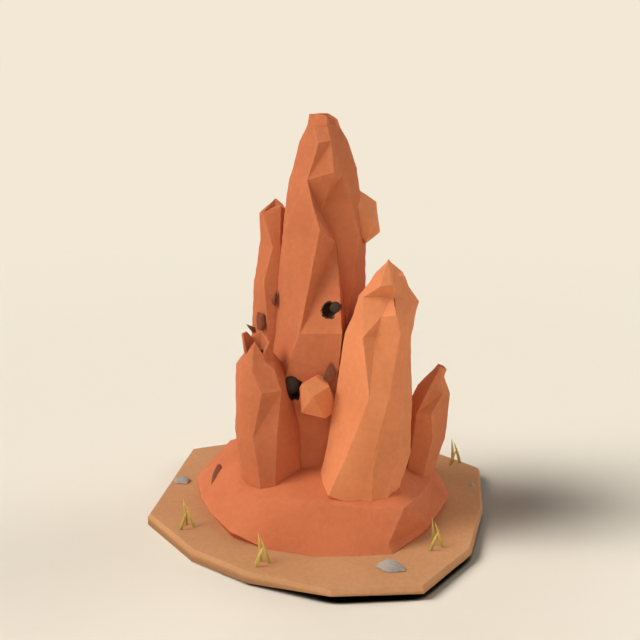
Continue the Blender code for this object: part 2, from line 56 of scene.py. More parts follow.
def feed(tree, socket, value):
    # a socket takes either a link from another socket or a plain value
    if isinstance(value, bpy.types.NodeSocket):
        tree.links.new(value, socket)
    elif hasattr(value, "__len__") and len(value) == 3 and socket.type == "RGBA":
        socket.default_value = (*value, 1.0)
    else:
        socket.default_value = value


def calc(tree, operation, a, b=0.0, c=None):
    # one sum, product or other step of arithmetic on sockets or numbers
    node = tree.nodes.new("ShaderNodeMath")
    node.operation = operation
    feed(tree, node.inputs[0], a)
    feed(tree, node.inputs[1], b)
    if c is not None:
        feed(tree, node.inputs[2], c)
    return node.outputs[0]


def mixColour(tree, share, a, b):
    # a where the share is nought, b where it is one
    node = tree.nodes.new("ShaderNodeMix")
    node.data_type = "RGBA"
    node.clamp_factor = True
    feed(tree, node.inputs["Factor"], share)
    feed(tree, node.inputs[6], a)
    feed(tree, node.inputs[7], b)
    return node.outputs[2]


def spread(tree, value, fromLow, fromHigh, toLow=0.0, toHigh=1.0):
    # a soft step: toLow at fromLow and below, toHigh at fromHigh and above
    node = addNode(tree, "ShaderNodeMapRange", {"interpolation_type": "SMOOTHSTEP"}, Value=value)
    for name, number in (("From Min", fromLow), ("From Max", fromHigh), ("To Min", toLow), ("To Max", toHigh)):
        feed(tree, node.inputs[name], number)
    return node.outputs["Result"]


def newGroup(name, inputs, outputs):
    # inputs and outputs: name to (socket type, default)
    tree = bpy.data.node_groups.new(name, "ShaderNodeTree")
    for label, (kind, value) in inputs.items():
        socket = tree.interface.new_socket(label, in_out="INPUT", socket_type=kind)
        if value is not None:
            socket.default_value = value
    for label, kind in outputs.items():
        tree.interface.new_socket(label, in_out="OUTPUT", socket_type=kind)
    return tree, tree.nodes.new("NodeGroupInput").outputs, tree.nodes.new("NodeGroupOutput").inputs


def place(tree, group, **values):
    # a shared effect put into a material with its own values
    node = tree.nodes.new("ShaderNodeGroup")
    node.node_tree = group
    for name, value in values.items():
        feed(tree, node.inputs[name.replace("_", " ")], value)
    return node.outputs


def makeGrain():
    # dry earth close up: broad mottling, crumbs and fine grit, as a tone and a height
    tree, given, out = newGroup(
        "earthGrain",
        {"Vector": ("NodeSocketVector", None), "Mottle": ("NodeSocketFloat", 2.2),
         "Crumb": ("NodeSocketFloat", 26.0), "Grit": ("NodeSocketFloat", 120.0)},
        {"Mottling": "NodeSocketFloat", "Speckle": "NodeSocketFloat", "Height": "NodeSocketFloat"},
    )
    broad = addNode(tree, "ShaderNodeTexNoise", Vector=given["Vector"], Scale=given["Mottle"],
                    Detail=4.0, Roughness=0.55).outputs["Fac"]
    crumbs = addNode(tree, "ShaderNodeTexNoise", Vector=given["Vector"], Scale=given["Crumb"],
                     Detail=5.0, Roughness=0.65).outputs["Fac"]
    grit = addNode(tree, "ShaderNodeTexVoronoi", {"feature": "SMOOTH_F1"}, Vector=given["Vector"],
                   Scale=given["Grit"]).outputs["Distance"]
    tree.links.new(spread(tree, broad, 0.3, 0.7), out["Mottling"])
    tree.links.new(spread(tree, crumbs, 0.3, 0.7), out["Speckle"])
    tree.links.new(calc(tree, "MULTIPLY_ADD", grit, -0.35, crumbs), out["Height"])
    return tree


def makeWearAndHollowShade():
    # ridges are rubbed paler, which is wear, and hollows are darkened, which is painted shade
    tree, given, out = newGroup(
        "ridgeWearAndHollowShade",
        {"Colour": ("NodeSocketColor", (0.5, 0.5, 0.5, 1.0)), "Worn": ("NodeSocketColor", (0.8, 0.6, 0.4, 1.0)),
         "Dirt": ("NodeSocketColor", (0.2, 0.1, 0.05, 1.0)), "Relief": ("NodeSocketFloat", 0.0),
         "Break": ("NodeSocketFloat", 0.5), "Wear": ("NodeSocketFloat", 0.3), "Soil": ("NodeSocketFloat", 0.3)},
        {"Colour": "NodeSocketColor"},
    )
    broken = calc(tree, "MULTIPLY_ADD", given["Break"], 0.8, 0.3)
    ridge = calc(tree, "MULTIPLY", spread(tree, given["Relief"], 0.05, 0.8), broken)
    # painted shade: the share of darkening where the surface sinks in
    shadeInHollow = calc(tree, "MULTIPLY", spread(tree, given["Relief"], -0.1, -0.9), broken)
    paler = mixColour(tree, calc(tree, "MULTIPLY", ridge, given["Wear"]), given["Colour"], given["Worn"])
    # the hollows take the painted shade colour over the worn colour
    darker = mixColour(tree, calc(tree, "MULTIPLY", shadeInHollow, given["Soil"]), paler, given["Dirt"])
    tree.links.new(darker, out["Colour"])
    return tree


def makeDust():
    # pale dust lies on whatever faces up
    tree, given, out = newGroup(
        "settledDust",
        {"Colour": ("NodeSocketColor", (0.5, 0.5, 0.5, 1.0)), "Dust": ("NodeSocketColor", (0.7, 0.5, 0.35, 1.0)),
         "Patch": ("NodeSocketFloat", 0.5), "Amount": ("NodeSocketFloat", 0.2)},
        {"Colour": "NodeSocketColor"},
    )
    normal = addNode(tree, "ShaderNodeNewGeometry").outputs["Normal"]
    up = addNode(tree, "ShaderNodeSeparateXYZ", Vector=normal).outputs["Z"]
    lying = calc(tree, "MULTIPLY", spread(tree, up, 0.25, 0.95), given["Patch"])
    tree.links.new(mixColour(tree, calc(tree, "MULTIPLY", lying, given["Amount"]), given["Colour"], given["Dust"]),
                   out["Colour"])
    return tree


grain = makeGrain()
wear = makeWearAndHollowShade()
dust = makeDust()
print("materials: shared effects are in")


def startMaterial(name, roughness, shine=0.2):
    # a Principled shader and the object's own coordinates
    material = bpy.data.materials.new(name)
    material.use_nodes = True
    tree = material.node_tree
    shader = tree.nodes["Principled BSDF"]
    shader.inputs["Roughness"].default_value = roughness
    shader.inputs["Specular IOR Level"].default_value = shine
    where = addNode(tree, "ShaderNodeTexCoord").outputs["Object"]
    return material, tree, shader, where


def readValue(tree, name):
    # a number stored on the mesh
    return addNode(tree, "ShaderNodeAttribute", {"attribute_name": name}).outputs["Fac"]


def setBump(tree, shader, height, depth, strength):
    bump = addNode(tree, "ShaderNodeBump", Height=height, Distance=depth, Strength=strength)
    tree.links.new(bump.outputs["Normal"], shader.inputs["Normal"])


def panelsOf(node):
    # a CAD node's own flat panels: its points merged, and three point numbers for each panel
    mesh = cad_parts[node].data
    mesh.calc_loop_triangles()
    loose = np.empty(len(mesh.vertices) * 3, np.float32)
    mesh.vertices.foreach_get("co", loose)
    corners = np.empty(len(mesh.loop_triangles) * 3, np.int32)
    mesh.loop_triangles.foreach_get("vertices", corners)
    points, same = np.unique(np.round(loose.reshape(-1, 3).astype(float), 5), axis=0, return_inverse=True)
    return points, same.ravel()[corners].reshape(-1, 3)


def facing(points, tris):
    # each triangle's outward unit normal and its area
    across = np.cross(points[tris[:, 1]] - points[tris[:, 0]], points[tris[:, 2]] - points[tris[:, 0]])
    twice = np.linalg.norm(across, axis=1)
    return across / np.maximum(twice, 1e-12)[:, None], 0.5 * twice


def sidesOf(tris):
    # every side once, and for each triangle the numbers of its three sides (k joins corner k to k + 1)
    both = np.sort(np.stack([tris, np.roll(tris, -1, axis=1)], axis=2).reshape(-1, 2), axis=1)
    sides, where = np.unique(both, axis=0, return_inverse=True)
    return sides, where.reshape(-1, 3)


def creasesOf(points, tris):
    # the fold across every side, in degrees: above nought where it stands out, below where it goes in
    sides, where = sidesOf(tris)
    order = np.argsort(where.ravel(), kind="stable")
    pairs = np.repeat(np.arange(len(tris)), 3)[order].reshape(-1, 2)
    normals, _ = facing(points, tris)
    middles = points[tris].mean(axis=1)
    fold = np.degrees(np.arccos(np.clip((normals[pairs[:, 0]] * normals[pairs[:, 1]]).sum(axis=1), -1, 1)))
    outward = ((middles[pairs[:, 1]] - middles[pairs[:, 0]]) * normals[pairs[:, 0]]).sum(axis=1) < 0
    return where, pairs, np.where(outward, fold, -fold)


def joined(count, links):
    # the least number that each of count things reaches over the links
    label = np.arange(count)
    while True:
        least = np.minimum(label[links[:, 0]], label[links[:, 1]])
        new = label.copy()
        np.minimum.at(new, links[:, 0], least)
        np.minimum.at(new, links[:, 1], least)
        new = new[new]
        if (new == label).all():
            return label
        label = new


def cornerNormals(points, tris, fold, limit):
    # One normal for each corner of each panel: the sum of the normals of the panels round that corner,
    # each times its angle there, as far as folds below the limit join them.
    _, where = sidesOf(tris)
    use = np.argsort(where.ravel(), kind="stable").reshape(-1, 2)
    after = use - use % 3 + (use + 1) % 3
    links = np.concatenate([np.stack([use[:, 0], after[:, 1]], axis=1), np.stack([after[:, 0], use[:, 1]], axis=1)])
    corners = points[tris]
    ahead, back = (np.roll(corners, shift, axis=1) - corners for shift in (-1, 1))
    size = np.linalg.norm(ahead, axis=2) * np.linalg.norm(back, axis=2)
    angle = np.arccos(np.clip((ahead * back).sum(axis=2) / size, -1, 1))
    label = joined(tris.size, links[np.tile(np.abs(fold) < limit, 2)])
    weighted = (facing(points, tris)[0][:, None] * angle[..., None]).reshape(-1, 3)
    total = np.stack([np.bincount(label, weighted[:, i], tris.size) for i in range(3)], axis=1)[label]
    return (total / np.linalg.norm(total, axis=1, keepdims=True)).reshape(-1, 3, 3)


def blended(places, corners, values):
    # Values at places inside flat panels: each corner's value times its share, which is the area of the
    # triangle the place makes with the other two corners over the area of the whole panel.
    whole = np.cross(corners[:, 1] - corners[:, 0], corners[:, 2] - corners[:, 0])
    total = 0
    for k in range(3):
        p, q = corners[:, (k + 1) % 3, None], corners[:, (k + 2) % 3, None]
        share = (np.cross(q - p, places - p) * whole[:, None]).sum(axis=2) / (whole * whole).sum(axis=1)[:, None]
        total = total + share[..., None] * values[:, k, None]
    return total / np.linalg.norm(total, axis=2, keepdims=True)


def refine(points, tris, creased, fine, wide, growth):
    # Each panel becomes a grid of small triangles. Round by round, a point goes in the middle of every
    # side longer than allowed, and the triangles beside it are cut in 2, 3 or 4, so no gap opens. The
    # length allowed is fine at a crease and grows by growth times the distance from it, up to wide.
    panel = np.arange(len(tris))
    starts, ends = points[tris], points[np.roll(tris, -1, axis=1)]
    for _ in range(12):
        sides, where = sidesOf(tris)
        middle = points[sides].mean(axis=1)
        near = np.full(len(sides), np.inf)
        for k in range(3):                               # the panel's own three creases
            a, along = starts[panel, k][:, None], (ends - starts)[panel, k][:, None]
            off = middle[where] - a
            share = np.clip((off * along).sum(axis=2) / (along * along).sum(axis=2), 0, 1)
            gap = np.linalg.norm(off - share[..., None] * along, axis=2)
            np.minimum.at(near, where, np.where(creased[panel, k][:, None], gap, np.inf))
        reach = np.linalg.norm(points[sides[:, 0]] - points[sides[:, 1]], axis=1)
        cut = reach > np.clip(fine + growth * near, fine, wide)
        if not cut.any():
            break
        number = np.full(len(sides), -1)
        number[cut] = len(points) + np.arange(cut.sum())
        points = np.vstack([points, middle[cut]])
        new = number[where]
        marks = (new >= 0).sum(axis=1)
        # turn each triangle so that its one cut side, or its one whole side, comes first
        onlyCut, onlyWhole = np.argmax(new >= 0, axis=1), np.argmin(new >= 0, axis=1)
        first = np.where(marks == 1, onlyCut, np.where(marks == 2, onlyWhole, 0))
        turn = (first[:, None] + np.arange(3)) % 3
        corner = np.take_along_axis(tris, turn, axis=1)
        new = np.take_along_axis(new, turn, axis=1)
        a, b, c = corner.T
        ab, bc, ca = new.T
        parts = [
            (marks == 0, [(a, b, c)]),
            (marks == 1, [(a, ab, c), (ab, b, c)]),
            (marks == 2, [(c, ca, bc), (a, b, bc), (a, bc, ca)]),
            (marks == 3, [(a, ab, ca), (ab, b, bc), (ca, bc, c), (ab, bc, ca)]),
        ]
        cutTris = [np.stack([p[mask] for p in trio], axis=1) for mask, trios in parts for trio in trios]
        cutPanel = [panel[mask] for mask, trios in parts for _ in trios]
        tris, panel = np.vstack(cutTris), np.concatenate(cutPanel)
    return points, tris, panel


def pointNormals(points, tris):
    # at each point, the triangles' normals round it, each times its triangle's area, added up
    normals, areas = facing(points, tris)
    total = np.stack([np.bincount(tris.ravel(), np.repeat(normals[:, i] * areas, 3), len(points))
                      for i in range(3)], axis=1)
    return total / np.maximum(np.linalg.norm(total, axis=1), 1e-12)[:, None]


def relaxed(points, tris, share, rounds):
    # every point moves a share of the way to the average of its neighbours
    sides, _ = sidesOf(tris)
    a, b = sides.T
    count = np.bincount(sides.ravel(), minlength=len(points))[:, None]
    for _ in range(rounds):
        total = np.stack([np.bincount(a, points[b, i], len(points)) + np.bincount(b, points[a, i], len(points))
                          for i in range(3)], axis=1)
        points = points + share * (total / count - points)
    return points


def waves(points, length, count, seed):
    # a field of about -1 to 1: many sine waves of about one length, each in its own direction, added up
    draw = np.random.default_rng(seed)
    way = draw.normal(size=(count, 3))
    way *= 2 * math.pi / (length * draw.uniform(0.7, 1.4, (count, 1)) * np.linalg.norm(way, axis=1, keepdims=True))
    return np.sin(points @ way.T + draw.uniform(0, 2 * math.pi, count)).sum(axis=1) * math.sqrt(2 / count) * 0.7


def makePiece(name, points, faces, material, smooth=True):
    # a mesh object that rides on the mound's one body
    mesh = bpy.data.meshes.new(name)
    mesh.from_pydata(points.tolist(), [], faces)
    mesh.materials.append(material)
    if smooth:
        mesh.shade_smooth()
    mesh.update()
    piece = bpy.data.objects.new(name, mesh)
    bpy.context.scene.collection.objects.link(piece)
    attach(piece, "root")
    return piece


def setValue(piece, name, values, domain):
    # stores one number for each point or face
    piece.data.attributes.new(name, "FLOAT", domain).data.foreach_set("value", values.astype(np.float32))


mound = {
    "fineCell": 0.016,                       # metres, at a crease
    "wideCell": 0.060,
    "cellGrowth": 0.80,
    "crease": 4.0,                           # degrees, above which a fold counts as one
    "softFold": 24.0,                        # degrees, below which the shading runs smoothly over a fold
    "edgeRounding": 0.30,
    "relief": ((0.35, 0.0030), (0.09, 0.0012)),   # wave length, height
    "plainFoot": 0.03,                       # metres above the foot where the relief is full
    "fullRelief": 0.006,                     # metres that count as fully standing out, or fully sunk in: full wear on a ridge, full painted shade in a hollow
    "patchFold": 20.0,                       # a fold inwards this deep parts one growth from the next
    "ochre": ((0.45, -0.60, 1.0), (-0.05, -0.45, 1.1), (0.42, 0.05, 2.4)),   # a point on each ochre growth
    "halfOchre": ((0.85, -0.05, 0.75),),     # the same, for growths between red and ochre
    "halfShare": 0.45,
    "apron": ((-0.30, -0.80, 0.3),),
    # middle and radii of each hollow, whose inner walls get painted shade
    "hollows": (
        ((0.01, 0.08, 2.90), (0.09, 0.09, 0.16)), ((-0.39, 0.25, 2.27), (0.09, 0.09, 0.12)),
        ((-0.50, -0.26, 1.30), (0.10, 0.10, 0.12)), ((0.46, -0.31, 1.88), (0.09, 0.09, 0.12)),
        ((0.93, 0.13, 1.10), (0.03, 0.03, 0.05)),
        ((0.035, -0.275, 1.711), (0.060, 0.085, 0.066)), ((-0.220, -0.270, 1.115), (0.080, 0.090, 0.090)),
    ),
    "redEarth": (0.60, 0.173, 0.069),
    "ochreEarth": (0.78, 0.264, 0.104),
    "apronEarth": (0.645, 0.177, 0.069),
    "pale": (0.85, 0.36, 0.17),
    # painted shade colour for the hollows of the relief
    "hollowShadeColour": (0.30, 0.065, 0.022),
    # painted shade on the inner walls of the chimneys and vents, nearly black
    "dark": (0.045, 0.017, 0.010),
    "mottling": (0.96, 1.04),                # darkest and brightest
    "speckle": (0.97, 1.03),
    "wear": 0.12,                            # how much paler the ridges are
    "soil": 0.16,                            # how strong the painted shade in the hollows is
    "dust": 0.06,
    "roughness": 0.92,
    "bump": (0.003, 0.35),                   # depth in metres, strength
}


def makeMoundMaterial():
    material, tree, shader, where = startMaterial("moundEarth", mound["roughness"])
    crumbs = place(tree, grain, Vector=where)
    red = mixColour(tree, readValue(tree, "apron"), mound["redEarth"], mound["apronEarth"])
    base = mixColour(tree, readValue(tree, "ochre"), red, mound["ochreEarth"])
    tone = spread(tree, crumbs["Mottling"], 0.0, 1.0, *mound["mottling"])
    speck = spread(tree, crumbs["Speckle"], 0.0, 1.0, *mound["speckle"])
    value = calc(tree, "MULTIPLY", tone, speck)
    toned = addNode(tree, "ShaderNodeHueSaturation", Color=base, Value=value).outputs["Color"]
    # paler wear on the ridges, painted shade in the hollows
    wornAndShaded = place(tree, wear, Colour=toned, Worn=mound["pale"], Dirt=mound["hollowShadeColour"],
                 Relief=readValue(tree, "relief"), Break=crumbs["Speckle"],
                 Wear=mound["wear"], Soil=mound["soil"])["Colour"]
    dusty = place(tree, dust, Colour=wornAndShaded, Dust=mound["pale"], Patch=crumbs["Mottling"],
                  Amount=mound["dust"])["Colour"]
    # painted shade: the marked inner walls of the hollows are made nearly black
    shadeInHollow = mixColour(tree, readValue(tree, "shadeInHollow"), dusty, mound["dark"])
    tree.links.new(shadeInHollow, shader.inputs["Base Color"])
    setBump(tree, shader, crumbs["Height"], *mound["bump"])
    return material


def growthsAt(points, tris, pairs, fold, seeds):
    # panels joined across every fold but the deep inward ones make one growth; these are the growths
    # whose panels lie nearest to the given points
    label = joined(len(tris), pairs[fold > -mound["patchFold"]])
    middles = points[tris].mean(axis=1)
    nearest = [np.argmin(np.linalg.norm(middles - np.array(seed), axis=1)) for seed in seeds]
    return np.isin(label, label[nearest])


def makeMound():
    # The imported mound's own panels cut fine, their edges rounded a little; each point then moves along
    # its normal by a height times a sum of sine waves. The shading follows the folds of the panels.
    points, tris = panelsOf("mound")
    where, pairs, fold = creasesOf(points, tris)
    half = mound["halfShare"] * growthsAt(points, tris, pairs, fold, mound["halfOchre"])
    ochre = np.maximum(growthsAt(points, tris, pairs, fold, mound["ochre"]), half)
    apron = growthsAt(points, tris, pairs, fold, mound["apron"])
    creased = np.abs(fold)[where] > mound["crease"]
    corners = points[tris]
    cornerWays = cornerNormals(points, tris, fold, mound["softFold"])
    points, tris, panel = refine(points, tris, creased, mound["fineCell"], mound["wideCell"], mound["cellGrowth"])
    shading = blended(points[tris], corners[panel], cornerWays[panel])
    low = points[:, 2].min()
    points = relaxed(points, tris, mound["edgeRounding"], 1)
    normals = pointNormals(points, tris)
    lift = np.clip((points[:, 2] - low) / mound["plainFoot"], 0, 1)
    for seed, (length, height) in enumerate(mound["relief"]):
        points = points + normals * (lift * height * waves(points, length, 40, seed))[:, None]
    points[:, 2] = np.maximum(points[:, 2], low)
    soft = relaxed(points, tris, 0.6, 14)
    relief = ((points - soft) * normals).sum(axis=1) / mound["fullRelief"]
    # painted shade: a hollow's own walls, the panels inside its egg that look towards its middle, are marked to be
    # made nearly black
    normals, _ = facing(points, tris)
    middles = points[tris].mean(axis=1)
    shadeInHollow = np.zeros(len(tris))
    for middle, radii in mound["hollows"]:
        off = np.array(middle) - middles
        inside = np.linalg.norm(off / np.array(radii), axis=1) < 1
        shadeInHollow = np.maximum(shadeInHollow, inside & ((off * normals).sum(axis=1) > 0))
    piece = makePiece("moundEarth", points, tris.tolist(), makeMoundMaterial())
    piece.data.normals_split_custom_set(shading.reshape(-1, 3).tolist())
    setValue(piece, "ochre", ochre[panel], "FACE")
    setValue(piece, "apron", apron[panel], "FACE")
    setValue(piece, "relief", np.clip(relief, -1, 1), "POINT")
    setValue(piece, "shadeInHollow", shadeInHollow, "FACE")
    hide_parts("mound")
    print("mound:", len(tris), "triangles")
    return piece


makeMound()

ground = {
    "sideSteps": 14,                         # points along each side of the outline
    "rows": (16, 3, 3, 2, 6),                # rows from the middle of the top out over each edge to the underside
    "relief": ((0.30, 0.0020), (0.07, 0.0007)),
    "earth": (0.605, 0.290, 0.125),
    "footShade": (0.60, 0.030, 0.085),            # painted shade towards the foot of the sides and underneath: brightness kept at the foot; heights between which it clears
    "pale": (0.62, 0.34, 0.18),
    # painted shade colour for the hollows of the relief
    "hollowShadeColour": (0.30, 0.12, 0.05),
    "edgeWear": (0.8, 0.5),                  # how far the top edge and the lip are rubbed
    "crisp": 18,                             # degrees, above which a fold stays sharp
    "mottling": (0.97, 1.03),
    "speckle": (0.96, 1.04),
    "wear": 0.25,
    # how strong the painted shade in the hollows is
    "soil": 0.20,
    "dust": 0.08,
    "roughness": 0.95,
    "bump": (0.003, 0.4),
}


def makeGroundMaterial():
    material, tree, shader, where = startMaterial("bareGround", ground["roughness"])
    soil = place(tree, grain, Vector=where, Mottle=1.6, Crumb=34.0)
    grainTone = calc(tree, "MULTIPLY", spread(tree, soil["Mottling"], 0.0, 1.0, *ground["mottling"]),
                     spread(tree, soil["Speckle"], 0.0, 1.0, *ground["speckle"]))
    # painted shade: the slab darkens towards its foot and underside
    share, low, high = ground["footShade"]
    above = addNode(tree, "ShaderNodeSeparateXYZ", Vector=where).outputs["Z"]
    value = calc(tree, "MULTIPLY", grainTone, spread(tree, above, low, high, share, 1.0))
    toned = addNode(tree, "ShaderNodeHueSaturation", Color=(*ground["earth"], 1), Value=value).outputs["Color"]
    # paler wear on the edges, painted shade in any hollows
    wornAndShaded = place(tree, wear, Colour=toned, Worn=ground["pale"], Dirt=ground["hollowShadeColour"],
                 Relief=readValue(tree, "relief"), Break=soil["Speckle"],
                 Wear=ground["wear"], Soil=ground["soil"])["Colour"]
    dusty = place(tree, dust, Colour=wornAndShaded, Dust=ground["pale"], Patch=soil["Mottling"],
                  Amount=ground["dust"])["Colour"]
    tree.links.new(dusty, shader.inputs["Base Color"])
    setBump(tree, shader, soil["Height"], *ground["bump"])
    return material


def makeGround():
    # The section of the slab (middle, top edge, sloping band, lip, foot, middle below) is carried round
    # its outline: every ring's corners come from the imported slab, joined by straight sides.
    points, _ = panelsOf("ground_patch")
    low, high = (np.array(end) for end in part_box("stone_sunk"))
    points = points[((points < low - 0.002) | (points > high + 0.002)).any(axis=1)]
    height = points[:, 2]
    foot, top, band = height < 0.005, height > 0.095, np.abs(height - 0.07) < 0.003
    rings = []
    for mask in (top, band, ~(foot | top | band), foot):
        ring = points[mask]
        rings.append(ring[np.argsort(np.arctan2(ring[:, 1], ring[:, 0]))])
    share = np.arange(ground["sideSteps"])[None, :, None] / ground["sideSteps"]
    rings = [(ring[:, None] * (1 - share) + np.roll(ring, -1, axis=0)[:, None] * share).reshape(-1, 3)
             for ring in rings]
    middle = np.zeros_like(rings[0])
    sections = [middle + (0, 0, rings[0][0, 2]), *rings, middle + (0, 0, rings[-1][0, 2])]
    rows = []
    for start, end, count in zip(sections, sections[1:], ground["rows"]):
        step = np.arange(count)[:, None, None] / count
        rows.append(start * (1 - step) + end * step)
    grid = np.concatenate([*rows, sections[-1][None]])
    for seed, (length, depth) in enumerate(ground["relief"]):
        # the dips lower the top a little, and the edge less the lower it is
        dip = np.minimum(depth * waves(grid.reshape(-1, 3), length, 30, 20 + seed), 0).reshape(grid.shape[:2])
        grid[..., 2] += dip * np.clip(grid[..., 2] / 0.07, 0, 1)
    points, faces = capGrid(grid)
    piece = makePiece("bareGround", points, faces, makeGroundMaterial())
    piece.data.set_sharp_from_angle(angle=math.radians(ground["crisp"]))
    edge = np.zeros(grid.shape[:2])
    edge[sum(ground["rows"][:1])], edge[sum(ground["rows"][:3])] = ground["edgeWear"]
    setValue(piece, "relief", np.concatenate([edge[1:-1].ravel(), [0.0, 0.0]]), "POINT")
    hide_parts("ground_patch")


lumps = {
    # name: CAD node, slot, look, edge rounding rounds, relief height
    "stoneFront": ("stone_front", "grey_stone", "stone", 1, 0.0016),
    "stoneLeft": ("stone_left", "grey_stone", "stone", 1, 0.0016),
    "stoneSunk": ("stone_sunk", "grey_stone", "stone", 1, 0.0016),
    "chipFront": ("mud_chip_front", "dark_mud", "chip", 1, 0.0010),
    "chipLower": ("mud_chip_lower", "dark_mud", "chip", 1, 0.0010),
    "chipUpper": ("mud_chip_upper", "dark_mud", "chip", 1, 0.0010),
    "chipFoot": ("mud_chip_foot", "dark_mud", "chip", 1, 0.0010),
    "thorn": ("mud_thorn", "dark_mud", "chip", 0, 0.0004),
    "plugHigh": ("soil_plug_high", "plug_soil", "plug", 3, 0.0014),
    "plugLow": ("soil_plug_low", "plug_soil", "plug", 3, 0.0014),
}
lumpLooks = {
    # colour, paler wear, painted shade in the hollows, roughness, bump depth, grain sizes
    "stone": ((0.40, 0.335, 0.275), (0.55, 0.50, 0.44), (0.20, 0.15, 0.11), 0.85, 0.0025, (9.0, 60.0)),
    "chip": ((0.24, 0.075, 0.036), (0.42, 0.16, 0.08), (0.12, 0.035, 0.018), 0.9, 0.0020, (8.0, 70.0)),
    "plug": ((0.060, 0.042, 0.029), (0.12, 0.085, 0.055), (0.025, 0.016, 0.011), 0.95, 0.0030, (12.0, 60.0)),
}
lumpGrid = (36, 64)                          # rows from top to bottom, columns round
lumpTone = {
    "mottling": (0.90, 1.10),
    "speckle": (0.93, 1.07),
    "wear": 0.4,
    # how strong the painted shade in the hollows is
    "soil": 0.5,
    "bumpStrength": 0.5,
    "waveLength": 0.05,
    "crisp": 28,                             # degrees, above which a fold stays sharp
}


def capGrid(grid):
    # rows by columns of points, closed round; the first and the last row are poles of one point each
    rows, columns = grid.shape[:2]
    points = np.concatenate([grid[1:-1].reshape(-1, 3), grid[0, :1], grid[-1, :1]])
    number = np.arange((rows - 2) * columns).reshape(rows - 2, columns)
    beside = np.roll(number, -1, axis=1)
    quads = np.stack([number[:-1], number[1:], beside[1:], beside[:-1]], axis=2).reshape(-1, 4).tolist()
    first, last = len(points) - 2, len(points) - 1
    start = [[first, a, b] for a, b in zip(number[0].tolist(), beside[0].tolist())]
    end = [[last, b, a] for a, b in zip(number[-1].tolist(), beside[-1].tolist())]
    return points, start + quads + end


def makeLumpMaterial(name):
    colour, pale, hollowShadeColour, roughness, depth, (mottle, crumb) = lumpLooks[name]
    material, tree, shader, where = startMaterial(name + "Look", roughness)
    crumbs = place(tree, grain, Vector=where, Mottle=mottle, Crumb=crumb)
    value = calc(tree, "MULTIPLY", spread(tree, crumbs["Mottling"], 0.0, 1.0, *lumpTone["mottling"]),
                 spread(tree, crumbs["Speckle"], 0.0, 1.0, *lumpTone["speckle"]))
    toned = addNode(tree, "ShaderNodeHueSaturation", Color=(*colour, 1), Value=value).outputs["Color"]
    # paler wear on the rounded edges, painted shade in the hollows
    wornAndShaded = place(tree, wear, Colour=toned, Worn=pale, Dirt=hollowShadeColour, Relief=readValue(tree, "relief"),
                 Break=crumbs["Speckle"], Wear=lumpTone["wear"], Soil=lumpTone["soil"])["Colour"]
    tree.links.new(wornAndShaded, shader.inputs["Base Color"])
    setBump(tree, shader, crumbs["Height"], depth, lumpTone["bumpStrength"])
    return material


def makeLump(name, node, material, rounding, height, seed):
    # Radius as a function of turn and height round the lump's middle: how far a ray from the middle
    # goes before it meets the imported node's panels, evened out over its neighbours, plus waves.
    points, tris = panelsOf(node)
    middle = points[tris].mean(axis=(0, 1))
    rows, columns = lumpGrid
    polar = np.linspace(0, math.pi, rows)[:, None]
    turn = np.linspace(0, 2 * math.pi, columns, endpoint=False)[None, :]
    way = np.stack([np.sin(polar) * np.cos(turn), np.sin(polar) * np.sin(turn), np.cos(polar) + 0 * turn], axis=2)
    normals, _ = facing(points, tris)
    a, b, c = (points[tris[:, k]] - middle for k in range(3))
    along = way @ normals.T
    reach = (a * normals).sum(axis=1) / np.where(np.abs(along) < 1e-6, 1e-6, along)
    inside = reach > 0
    for p, q in ((a, b), (b, c), (c, a)):
        # the ray passes on the inner side of the plane through the middle and this side
        inside &= way @ np.cross(p, q).T >= -1e-7
    reach = np.where(inside, reach, 0).max(axis=2)
    sharp = reach.copy()
    for _ in range(rounding):
        spun = (np.roll(reach, 1, axis=1) + np.roll(reach, -1, axis=1)) / 2
        stacked = np.concatenate([reach[:1], (reach[:-2] + reach[2:]) / 2, reach[-1:]])
        reach = reach / 2 + (spun + stacked) / 4
        reach[[0, -1]] = reach[[1, -2]].mean(axis=1, keepdims=True)
    grid = middle + reach[..., None] * way
    lift = height * waves(grid.reshape(-1, 3), lumpTone["waveLength"], 30, seed).reshape(rows, columns)
    lift[[0, -1]] = lift[[0, -1], :1]
    grid = grid + lift[..., None] * way
    points, faces = capGrid(grid)
    piece = makePiece(name, points, faces, material)
    piece.data.set_sharp_from_angle(angle=math.radians(lumpTone["crisp"]))
    relief = np.clip((sharp - reach)[1:-1].ravel() / -0.004, -1, 1)
    setValue(piece, "relief", np.concatenate([-relief, [0.0, 0.0]]), "POINT")
    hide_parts(node)


grass = {
    "width": 0.027,                          # metres across, at the foot
    "taper": 2.2,                            # the higher, the longer a blade keeps its width
    "bow": 0.004,                            # how far the middle of a blade swings out
    "steps": 12,
    "keel": 0.45,                            # depth over width
    "lean": 0.5,                             # radians a blade may be turned about its own line
    "straw": (0.76, 0.53, 0.13),
    "green": (0.46, 0.35, 0.07),
    "pale": (0.72, 0.55, 0.22),
    "speckle": (0.88, 1.10),
    "roughness": 0.7,
    "bump": (0.001, 0.4),
}


def makeGrassMaterial():
    material, tree, shader, where = startMaterial("dryGrass", grass["roughness"])
    fibre = place(tree, grain, Vector=where, Mottle=14.0, Crumb=120.0)
    along = readValue(tree, "height")
    blade = mixColour(tree, spread(tree, along, 0.0, 0.8), grass["green"], grass["straw"])
    tip = mixColour(tree, spread(tree, along, 0.7, 1.0, 0.0, 0.6), blade, grass["pale"])
    value = spread(tree, fibre["Speckle"], 0.0, 1.0, *grass["speckle"])
    toned = addNode(tree, "ShaderNodeHueSaturation", Color=tip, Value=value).outputs["Color"]
    tree.links.new(toned, shader.inputs["Base Color"])
    setBump(tree, shader, fibre["Height"], *grass["bump"])
    return material


